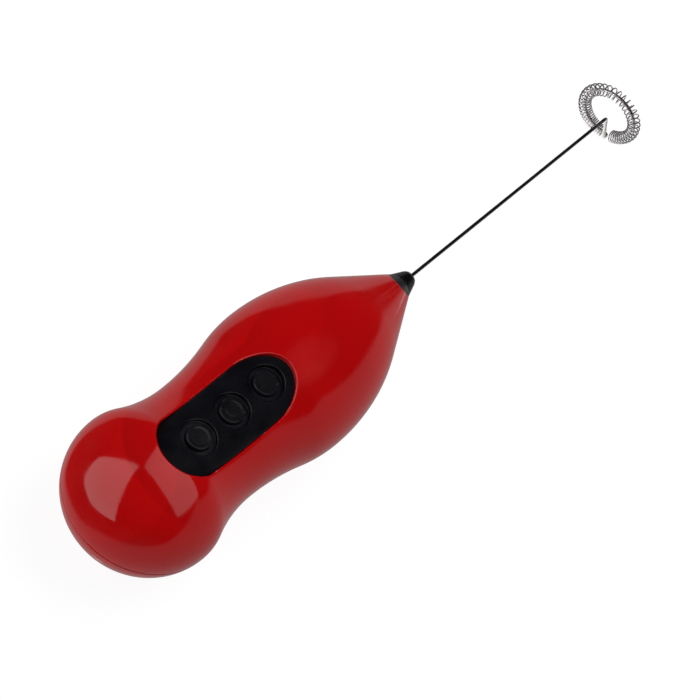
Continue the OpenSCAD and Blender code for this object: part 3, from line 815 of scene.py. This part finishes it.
def nose_cone():
    """Tapering tip with a rounded end, a slanted shoulder, a bore for the wire, and the spigot behind it."""
    solid = Solid()
    theta = full_turn(120)

    def ring(r, x):
        r, x = np.broadcast_to(r, theta.shape), np.broadcast_to(x, theta.shape)
        return solid.row(np.stack([x, r * np.sin(theta), r * np.cos(theta)], 1))

    def facing(radial, axial):
        return np.stack([np.full(theta.shape, axial), radial * np.sin(theta), radial * np.cos(theta)], 1)

    base = SHELL_NOSE_R - NOSE_STEP
    shoulder_x = TIP_X - TIP_SHOULDER_LEN
    path, before, after = rounded_path([
        (WIRE_BORE_R, TIP_X, 0), (TIP_R, TIP_X, 0.3), (TIP_SHOULDER_R, shoulder_x, 0.9), (base, SHELL_LEN, 0),
    ])
    rows = [ring(r, x) for r, x in path]
    for k in range(len(rows) - 1):
        solid.band(rows[k], rows[k + 1], facing(*after[k]), facing(*before[k + 1]))
    s_edge = nose_edge(OUTER, theta)
    s_tip = OUTER.s_at(SHELL_LEN)
    shoulder = facing(OUTER.nr[-1], OUTER.nx[-1])
    for share in np.linspace(0, 1, 7)[1:]:
        s = s_tip + (s_edge - s_tip) * share
        x = np.interp(s, OUTER.s, OUTER.x) + NOSE_GAP * share
        rows.append(ring(np.interp(x, OUTER.x, OUTER.r) - NOSE_STEP, x))
        solid.band(rows[-2], rows[-1], shoulder, shoulder)
    x_edge = np.interp(s_edge, OUTER.s, OUTER.x) + NOSE_GAP
    back = -nose_facing(theta, OUTER.r_at(s_edge) * np.cos(theta))
    rows.append(ring(SPIGOT_R, x_edge))
    solid.band(rows[-2], rows[-1], back, back)
    rest = [
        (SPIGOT_R, SPIGOT_FLANGE_X), (SPIGOT_FLANGE_R, SPIGOT_FLANGE_X),
        (SPIGOT_FLANGE_R, SPIGOT_END_X), (WIRE_BORE_R, SPIGOT_END_X),
    ]
    for (r, x), way in zip(rest, [(1, 0), (0, 1), (1, 0), (0, -1)]):
        rows.append(ring(r, x))
        solid.band(rows[-2], rows[-1], facing(*way), facing(*way))
    solid.band(rows[-1], rows[0], facing(-1, 0), facing(-1, 0))
    solid.piece("nose_cone_skin", "handle", "nose_black", "nose_cone")


RING_X = 216.5
RING_R = 8.36
RING_TILT = math.radians(5.5)
RING_OFFSET = 0.45
HOOP_START = math.radians(-115)
WIRE_R = 0.5
LEG_SETBACK = 2.1
ELBOW_LEN = 1.1
FOOT_LEN = 1.0
TOE_LEN = 0.9
HOOP_TURN = math.radians(345)
HOOP_LEAD = 0.15
COIL_R = 1.95
COIL_WIRE_R = 0.21
COIL_TURNS = 44
COIL_OPEN = math.radians(9)
COIL_SWEEP = math.radians(342)
COIL_CROWDING = 0.4
COIL_SPARSE_AT = 0.57


def on_ring(points):
    """Places what is drawn about the X axis on the leaning ring."""
    cos, sin = math.cos(RING_TILT), math.sin(RING_TILT)
    lean = np.array([[cos, sin, 0], [-sin, cos, 0], [0, 0, 1]])
    return np.asarray(points, float) @ lean + [RING_X, RING_OFFSET, 0]


def spokes(angle):
    angle = np.asarray(angle, float)
    return np.stack([np.zeros(angle.shape), np.cos(angle), np.sin(angle)], -1)


def curved_corner(before, corner, after, steps=14):
    """Points of a smooth bend from before to after that leans to the corner."""
    t = np.linspace(0, 1, steps)[:, None]
    return (1 - t) ** 2 * before + 2 * t * (1 - t) * corner + t ** 2 * after


def steady_up(path):
    """Directions square to a path that turn with it without twisting."""
    way = unit(np.gradient(path, axis=0))
    up = [np.array([0.0, 1.0, 0.0])]
    for k in range(1, len(path)):
        square = up[-1] - (up[-1] @ way[k]) * way[k]
        up.append(square / np.linalg.norm(square))
    return np.array(up)


def whisk_wire():
    """One wire: the shaft, a bend, the leg out to the ring, and the hoop inside the coil."""
    ahead = np.array([1.0, 0, 0])
    toe = on_ring(RING_R * spokes(HOOP_START))
    leg = unit(toe * [0, 1, 1])
    elbow = (toe[0] - LEG_SETBACK) * ahead
    foot = toe - LEG_SETBACK * ahead
    start = (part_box("whisk_wire")[0].x - BULB_END_X) / MM
    hoop = on_ring(RING_R * spokes(np.linspace(HOOP_START + HOOP_LEAD, HOOP_START + HOOP_TURN, 220)))
    path = np.concatenate([
        np.linspace(start * ahead, elbow - ELBOW_LEN * ahead, 60)[:-1],
        curved_corner(elbow - ELBOW_LEN * ahead, elbow, elbow + ELBOW_LEN * leg),
        curved_corner(foot - FOOT_LEN * leg, foot, foot + TOE_LEN * ahead),
        curved_corner(toe - TOE_LEN * ahead, toe, hoop[0])[:-1],
        hoop,
    ])
    solid = Solid()
    sweep(solid, path, WIRE_R, steady_up(path), 22)
    solid.piece("whisk_wire_skin", "rotor", "shaft_steel", "whisk_wire")


def whisk_coil():
    """Fine coil threaded on the hoop, crowded near the leg and open on the far side."""
    u = np.linspace(0, 1, COIL_TURNS * 26)
    wave = 2 * math.pi * (u - COIL_SPARSE_AT)
    crowd = COIL_CROWDING / (2 * math.pi) * (np.sin(wave) + math.sin(2 * math.pi * COIL_SPARSE_AT))
    spoke = spokes(HOOP_START + COIL_OPEN + COIL_SWEEP * (u + crowd))
    turn = 2 * math.pi * COIL_TURNS * u
    out = np.cos(turn)[:, None] * spoke + np.sin(turn)[:, None] * np.array([1.0, 0, 0])
    path = on_ring(RING_R * spoke + (COIL_R - COIL_WIRE_R) * out)
    solid = Solid()
    sweep(solid, path, COIL_WIRE_R, on_ring(out) - on_ring(np.zeros(3)), 9)
    solid.piece("whisk_coil_skin", "rotor", "coil_steel", "whisk_coil")


# ---- Materials ----

RED = (0.43, 0.0022, 0.0028)
RED_DEEP = (0.38, 0.0016, 0.0022)
# Pale pink painted on the shell's sharp edges: a painted reflection of the bright surroundings.
RED_PAINTED_EDGE_SHINE = (0.55, 0.09, 0.085)
RED_IOR = 1.44
BLACK_IOR = 1.3
# Pointiness range over which sharp edges get the painted highlight.
EDGE_HIGHLIGHT_FROM = 0.52
EDGE_HIGHLIGHT_TO = 0.6
SHAFT_COLORS = (0.26, 0.25, 0.25), (0.13, 0.125, 0.125)
COIL_COLORS = (0.86, 0.84, 0.86), (0.6, 0.57, 0.6)
# Pale colour painted on the wire's ring end: a painted highlight, the same steel as the dark shaft.
WIRE_PAINTED_HIGHLIGHT = (0.8, 0.77, 0.74)
CELL_COLORS = (0.5, 0.32, 0.08), (0.02, 0.05, 0.18)
CELL_METAL = (0.62, 0.62, 0.6)
CELL_STEP = 0.0012
CELL_BAND = 0.013

# By slot: colour, paler shade, roughness, and the grain's size and depth in metres.
SATIN_BLACKS = {
    "panel_black": ((0.002, 0.002, 0.003), (0.0035, 0.0035, 0.005), 0.28, 0.00025, 6e-6),
    "button_black": ((0.003, 0.003, 0.004), (0.005, 0.005, 0.0065), 0.25, 0.0002, 4e-6),
    "nose_black": ((0.002, 0.002, 0.0025), (0.004, 0.004, 0.005), 0.25, 0.0003, 4e-6),
}

# By slot: colour, second shade, roughness, metallic, the grain's size and depth, and its stretch if any.
FINISHES = {
    "silicone": ((0.78, 0.78, 0.75), (0.6, 0.6, 0.57), 0.45, 0, 0.0008, 1e-5),
    "board_green": ((0.015, 0.11, 0.035), (0.01, 0.07, 0.02), 0.3, 0, 0.0012, 5e-6),
    "chip_black": ((0.012, 0.012, 0.013), (0.03, 0.03, 0.03), 0.55, 0, 0.0002, 6e-6),
    "screw_steel": ((0.58, 0.58, 0.6), (0.4, 0.4, 0.42), 0.3, 1, 0.0004, 4e-6),
    "chassis_grey": ((0.035, 0.035, 0.038), (0.06, 0.06, 0.06), 0.5, 0, 0.0003, 1e-5),
    "contact_metal": ((0.75, 0.74, 0.7), (0.5, 0.49, 0.45), 0.2, 1, 0.0006, 4e-6),
    "motor_steel": ((0.6, 0.6, 0.6), (0.42, 0.42, 0.42), 0.32, 1, 0.0004, 5e-6, (1, 0.1, 0.1)),
    "cap_white": ((0.75, 0.73, 0.66), (0.6, 0.58, 0.5), 0.45, 0, 0.0005, 8e-6),
    "magnet_grey": ((0.05, 0.047, 0.047), (0.09, 0.085, 0.085), 0.6, 0, 0.0003, 2e-5),
    "brass": ((0.66, 0.46, 0.17), (0.42, 0.28, 0.1), 0.26, 1, 0.0003, 5e-6, (1, 0.15, 0.15)),
    "copper": ((0.6, 0.22, 0.09), (0.38, 0.12, 0.05), 0.28, 1, 0.0003, 1e-5),
    "core_steel": ((0.3, 0.3, 0.31), (0.16, 0.16, 0.17), 0.4, 1, 0.0005, 2e-5, (1, 0.05, 0.05)),
    "seal_rubber": ((0.012, 0.012, 0.012), (0.03, 0.03, 0.03), 0.6, 0, 0.0004, 1e-5),
    "lead_red": ((0.4, 0.01, 0.01), (0.25, 0.006, 0.006), 0.4, 0, 0.0005, 5e-6),
    "lead_black": ((0.01, 0.01, 0.01), (0.025, 0.025, 0.025), 0.4, 0, 0.0005, 5e-6),
}


def new_material(name, rough, metallic=0.0, ior=1.46):
    material = bpy.data.materials.new(name)
    material.use_nodes = True
    feed(material, "Principled BSDF", {"Roughness": rough, "Metallic": metallic, "IOR": ior})
    return material


def feed(material, node, inputs):
    """Sets inputs of a named node to numbers or colours, or links other nodes' outputs to them."""
    for key, value in inputs.items():
        socket = material.node_tree.nodes[node].inputs[key]
        if isinstance(value, bpy.types.NodeSocket):
            material.node_tree.links.new(value, socket)
        else:
            socket.default_value = (*value, 1) if socket.type == "RGBA" else value


def add_node(material, kind, output, inputs=None, **settings):
    """An output of a new node."""
    made = material.node_tree.nodes.new(kind)
    for key, value in settings.items():
        setattr(made, key, value)
    feed(material, made.name, inputs or {})
    return made.outputs[output]


def combined(material, operation, first, second):
    return add_node(material, "ShaderNodeMath", 0, {0: first, 1: second}, operation=operation)


def mixed(material, share, first, second):
    """Colour between two colours by a share."""
    return add_node(material, "ShaderNodeMix", 2, {0: share, 6: first, 7: second}, data_type="RGBA")


def place(material, stretch=(1, 1, 1)):
    """The piece's own coordinates in metres, stretched along its axes."""
    coordinates = add_node(material, "ShaderNodeTexCoord", "Object")
    return add_node(material, "ShaderNodeMapping", "Vector", {"Vector": coordinates, "Scale": stretch})


def place_x(material):
    return add_node(material, "ShaderNodeSeparateXYZ", "X", {"Vector": place(material)})


def noise(material, grain, detail=3.0, stretch=(1, 1, 1)):
    """Noise whose bumps are about grain metres across."""
    inputs = {"Vector": place(material, stretch), "Scale": 1 / grain, "Detail": detail}
    return add_node(material, "ShaderNodeTexNoise", "Fac", inputs)


def between(material, value, low, high, start=0.35, end=0.65):
    """Value's stretch from start to end mapped onto low to high."""
    ramp = {"Value": value, "From Min": start, "From Max": end, "To Min": low, "To Max": high}
    return add_node(material, "ShaderNodeMapRange", "Result", ramp)


def finish_material(material, color, rough, heights):
    """Links colour and roughness and chains bumps of (height socket, depth in metres)."""
    bump = {}
    for height, depth in heights:
        bump.update(Height=height, Distance=depth, Strength=1.0)
        bump["Normal"] = add_node(material, "ShaderNodeBump", "Normal", bump)
    feed(material, "Principled BSDF", {"Base Color": color, "Roughness": rough, "Normal": bump["Normal"]})
    return material


def painted_edge_highlight(material):
    """Painted highlight mask: one on sharp outer edges and nothing on flat ground, broken up by noise."""
    sharp = add_node(material, "ShaderNodeNewGeometry", "Pointiness")
    edge = between(material, sharp, 0.0, 1.0, EDGE_HIGHLIGHT_FROM, EDGE_HIGHLIGHT_TO)
    return combined(material, "MULTIPLY", edge, between(material, noise(material, 0.004), 0.2, 1.0))


def glossy_red():
    """High-gloss moulded plastic: slight orange peel, faint wiping marks, uneven gloss and a pale pink
    painted reflection on sharp edges.
    """
    material = new_material("red_gloss", 0.1, ior=RED_IOR)
    cloudy = mixed(material, between(material, noise(material, 0.03), 0.0, 1.0), RED, RED_DEEP)
    # Sharp edges get the pale pink: a painted reflection along the rims and lips.
    color = mixed(material, painted_edge_highlight(material), cloudy, RED_PAINTED_EDGE_SHINE)
    rough = between(material, noise(material, 0.006, 5.0, (1, 0.35, 1)), 0.07, 0.15)
    peel = noise(material, 0.0026, 2.0)
    hairline = noise(material, 0.0011, 4.0, (0.12, 1, 1))
    return finish_material(material, color, rough, [(peel, 6e-6), (hairline, 1.2e-6)])


def satin_black(name, color, light, rough, grain, depth):
    """Spark-eroded black plastic: even grain, a little polish and sharp edges painted paler, a painted
    highlight.
    """
    material = new_material(name, rough, ior=BLACK_IOR)
    cloudy = mixed(material, between(material, noise(material, 0.008), 0.0, 1.0), color, light)
    # Sharp edges painted three times paler than the pale shade: a painted highlight along the rims.
    painted = mixed(material, painted_edge_highlight(material), cloudy, tuple(3 * c for c in light))
    polish = between(material, noise(material, 0.005, 4.0), rough - 0.05, rough + 0.07)
    return finish_material(material, painted, polish, [(noise(material, grain, 2.0), depth)])


def drawn_wire(name, color, dark, rough, along, painted_highlight_x=None):
    """Steel wire with fine drawing lines and dull patches, and beyond a given x painted pale: a painted
    highlight on the whisk's ring end.
    """
    material = new_material(name, rough, 1.0)
    lines = noise(material, 0.00025, 3.0, along)
    painted = mixed(material, between(material, lines, 0.0, 1.0), dark, color)
    # Past the given x the wire is painted pale: a painted highlight where the ring end shines.
    if painted_highlight_x:
        painted_highlight_share = between(material, place_x(material), 0.0, 1.0, painted_highlight_x - 5e-4, painted_highlight_x + 5e-4)
        painted = mixed(material, painted_highlight_share, painted, WIRE_PAINTED_HIGHLIGHT)
    dull = between(material, noise(material, 0.003, 4.0), rough - 0.06, rough + 0.1)
    return finish_material(material, painted, dull, [(lines, 4e-6)])


def plain_finish(name, color, shade, rough, metallic, grain, depth, along=(1, 1, 1)):
    """Colour varied towards a second shade, uneven roughness and a grain of a given size and depth."""
    material = new_material(name, rough, metallic)
    texture = noise(material, grain, 4.0, along)
    cloudy = between(material, noise(material, 0.004), 0.0, 0.6)
    blotched = mixed(material, cloudy, color, shade)
    painted = mixed(material, between(material, texture, 0.0, 0.5), blotched, shade)
    uneven = between(material, noise(material, 0.0025, 4.0), rough - 0.05, rough + 0.08)
    return finish_material(material, painted, uneven, [(texture, depth)])


def cell_sleeve():
    """Plain printed film on a battery cell, with a bare metal step at each end."""
    material = new_material("cell_sleeve", 0.3)
    x = place_x(material)
    low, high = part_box("cell_left")
    first, last = low.x + CELL_STEP, high.x - 2 * CELL_STEP
    start = between(material, x, 0.0, 1.0, first, first + 1e-4)
    end = between(material, x, 1.0, 0.0, last - 1e-4, last)
    film = combined(material, "MINIMUM", start, end)
    stripe = between(material, x, 0.0, 1.0, low.x + CELL_BAND, low.x + CELL_BAND + 2e-4)
    painted = mixed(material, film, CELL_METAL, mixed(material, stripe, *CELL_COLORS))
    rough = between(material, noise(material, 0.004, 4.0), 0.22, 0.36)
    return finish_material(material, painted, rough, [(noise(material, 0.0008), 3e-6)])


MATERIALS = {
    "red_shell": glossy_red(),
    # The shaft steel is painted pale from the coil's start on: a painted highlight on the whisk's ring end.
    "shaft_steel": drawn_wire("shaft_steel", *SHAFT_COLORS, 0.28, (0.04, 1, 1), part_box("whisk_coil")[0].x),
    "coil_steel": drawn_wire("coil_steel", *COIL_COLORS, 0.16, (1, 1, 1)),
    "cell_sleeve": cell_sleeve(),
}
MATERIALS.update({slot: satin_black(slot, *finish) for slot, finish in SATIN_BLACKS.items()})
MATERIALS.update({slot: plain_finish(slot, *finish) for slot, finish in FINISHES.items()})


def dress_cad_nodes():
    """Gives every CAD node the material of its slot in the record."""
    for part in frame["record"]["subparts"]:
        node = frame["nodes"][part["node"]]
        node.data.materials.clear()
        node.data.materials.append(MATERIALS[part["material_slot"]])


# ---- Plain studio ----

CAMERA_TILT = math.radians(32.5)
CAMERA_ROLL = math.radians(6.0)
CAMERA_TURN = math.radians(39.17)
CAMERA_DISTANCE = 0.94145
CAMERA_SIDE = 0.00511
CAMERA_SENSOR = 36
CAMERA_LENS = 180
FOCUS_X = 97.165

FLOOR_REACH = 3.0
FLOOR_DROP = 0.0003
FLOOR_GLOW = 0.93
FLOOR_COLOR = 0.1
BOWL_R = 1.5
BOWL_LOW = 0.34
BOWL_HIGH = 0.02
BOWL_SOFT = 3.0
BOWL_POLE = 88.0
# Azimuth and elevation of the rim, in degrees.
BOWL_RIM = [
    (-180, -30), (-150, -18), (-120, -6), (-90, 20), (-72, 32), (-50, 20), (-30, 10), (-12, -4), (3, -9),
    (15, -8), (33, 10), (52, 5), (70, -20), (85, -45), (97, -55), (115, -52), (156, -45), (180, -31),
]
# Corners by azimuth and elevation, then distance and glow.
CARDS = {
    "left_card": ([(155, -17), (-176, -4), (118, 62), (88, 8), (116, -17)], 0.7, 2.0),
    "right_card": ([(124, 68), (-102, 28), (-60, 32), (45, 52)], 0.09, 1.3),
}
WHISK_CARD_REACH = 0.032
WHISK_CARD_GLOW = 1.1
# Azimuth, elevation and power.
LAMPS = {"key": (-20, 70, 9.0), "fill": (145, 38, 7.8)}
LAMP_SIZE = 0.9


def direction(azimuth, elevation):
    a, e = math.radians(azimuth), math.radians(elevation)
    return np.array([math.cos(e) * math.cos(a), math.cos(e) * math.sin(a), math.sin(e)])


def make_camera():
    """Camera behind the bulb and above, turned so that the shaft runs to the upper right."""
    level = math.cos(CAMERA_TILT)
    into = Vector((math.sin(CAMERA_TILT), level * math.sin(CAMERA_ROLL), -level * math.cos(CAMERA_ROLL)))
    along = (Vector((1, 0, 0)) - math.sin(CAMERA_TILT) * into) / level
    across = into.cross(along)
    right = math.cos(CAMERA_TURN) * along + math.sin(CAMERA_TURN) * across
    up = math.sin(CAMERA_TURN) * along - math.cos(CAMERA_TURN) * across
    data = bpy.data.cameras.new("camera")
    data.sensor_width = CAMERA_SENSOR
    data.lens = CAMERA_LENS
    data.clip_start = 0.01
    camera = new_object("camera", data)
    at = Vector(to_frame([FOCUS_X, 0, 0])) - CAMERA_DISTANCE * into + CAMERA_SIDE * across
    camera.matrix_world = Matrix.Translation(at) @ Matrix((right, up, -into)).transposed().to_4x4()
    bpy.context.scene.camera = camera


def glow_material(name, strength=1.0):
    material = bpy.data.materials.new(name)
    material.use_nodes = True
    material.node_tree.nodes.remove(material.node_tree.nodes["Principled BSDF"])
    glow = add_node(material, "ShaderNodeEmission", 0, {"Strength": strength})
    feed(material, "Material Output", {0: glow})
    return material


def stage_mesh(name, points, faces, material):
    mesh = bpy.data.meshes.new(name)
    mesh.from_pydata([tuple(p) for p in points], [], faces)
    mesh.materials.append(material)
    made = new_object(name, mesh)
    return made


def reflection_card(name, points, glow):
    """A glowing sheet that only reflections see."""
    card = stage_mesh(name, points, [tuple(range(len(points)))], glow_material(name, glow))
    card.visible_camera = False
    card.visible_shadow = False
    card.visible_diffuse = False


def level_square(x, y, z, reach):
    return [(x + a * reach, y + b * reach, z) for a, b in ((-1, -1), (1, -1), (1, 1), (-1, 1))]


def make_floor():
    """Near-white floor that glows, so that only a faint shadow is left."""
    material = new_material("floor", 0.8)
    feed(material, "Principled BSDF", {
        "Base Color": (FLOOR_COLOR, FLOOR_COLOR, FLOOR_COLOR), "Specular IOR Level": 0,
        "Emission Color": (1, 1, 1), "Emission Strength": FLOOR_GLOW,
    })
    floor = stage_mesh("floor", level_square(0, 0, -FLOOR_DROP, FLOOR_REACH), [(0, 1, 2, 3)], material)
    floor.visible_glossy = False


def make_bowl():
    """Surround that the gloss reflects: pale below a wavy rim and dark above it."""
    azimuths = np.arange(-180, 180, 4)
    count = len(azimuths)
    rim = np.interp(azimuths, *zip(*BOWL_RIM))
    pole = np.full(count, BOWL_POLE)
    rings = [(-pole, BOWL_LOW), (rim - BOWL_SOFT, BOWL_LOW), (rim + BOWL_SOFT, BOWL_HIGH), (pole, BOWL_HIGH)]
    points, glow, faces = [], [], []
    for elevations, level in rings:
        points += [BOWL_R * direction(a, e) for a, e in zip(azimuths, elevations)]
        glow += [level] * count
    for low in range(0, count * (len(rings) - 1), count):
        high = low + count
        faces += [(low + i, low + (i + 1) % count, high + (i + 1) % count, high + i) for i in range(count)]
    material = glow_material("bowl")
    level = add_node(material, "ShaderNodeAttribute", "Fac", attribute_name="glow")
    feed(material, "Emission", {"Strength": level})
    bowl = stage_mesh("bowl", points, faces, material)
    bowl.data.attributes.new("glow", "FLOAT", "POINT").data.foreach_set("value", glow)
    bowl.visible_camera = False
    bowl.visible_shadow = False


def make_cards():
    """Softboxes whose corners the bulb mirrors to the camera, and white paper under the ring."""
    middle = np.array(to_frame([BULB_LEN, 0, 0]))
    view = np.array(bpy.context.scene.camera.matrix_world.to_3x3() @ Vector((0, 0, 1)))
    for name, (corners, distance, glow) in CARDS.items():
        ways = [direction(*corner) for corner in corners]
        points = [middle + BULB_R * MM * unit(way + view) + distance * way for way in ways]
        reflection_card(name, points, glow)
    low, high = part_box("whisk_coil")
    paper = level_square(high.x, (low.y + high.y) / 2, -FLOOR_DROP / 2, WHISK_CARD_REACH)
    reflection_card("whisk_card", paper, WHISK_CARD_GLOW)


def make_lamps():
    """Large soft lamps for the diffuse light, left out of reflections."""
    for name, (azimuth, elevation, power) in LAMPS.items():
        data = bpy.data.lights.new(name, "AREA")
        data.shape = "DISK"
        data.size = LAMP_SIZE
        data.energy = power
        lamp = new_object(name, data)
        way = Vector(direction(azimuth, elevation))
        lamp.matrix_world = Matrix.Translation(way) @ way.to_track_quat("Z", "Y").to_matrix().to_4x4()
        lamp.visible_glossy = False


def make_world():
    world = bpy.data.worlds.new("world")
    world.use_nodes = True
    feed(world, "Background", {"Color": (1, 1, 1)})
    bpy.context.scene.world = world
    bpy.context.scene.view_settings.view_transform = "Standard"


# ---- Everything in its place ----

make_camera()
dress_cad_nodes()
front_shell()
battery_door()
back_shell()
control_panel()
for number, name in enumerate(("slow", "power", "fast")):
    button(name, number)
nose_cone()
whisk_wire()
whisk_coil()
make_floor()
make_bowl()
make_cards()
make_lamps()
make_world()
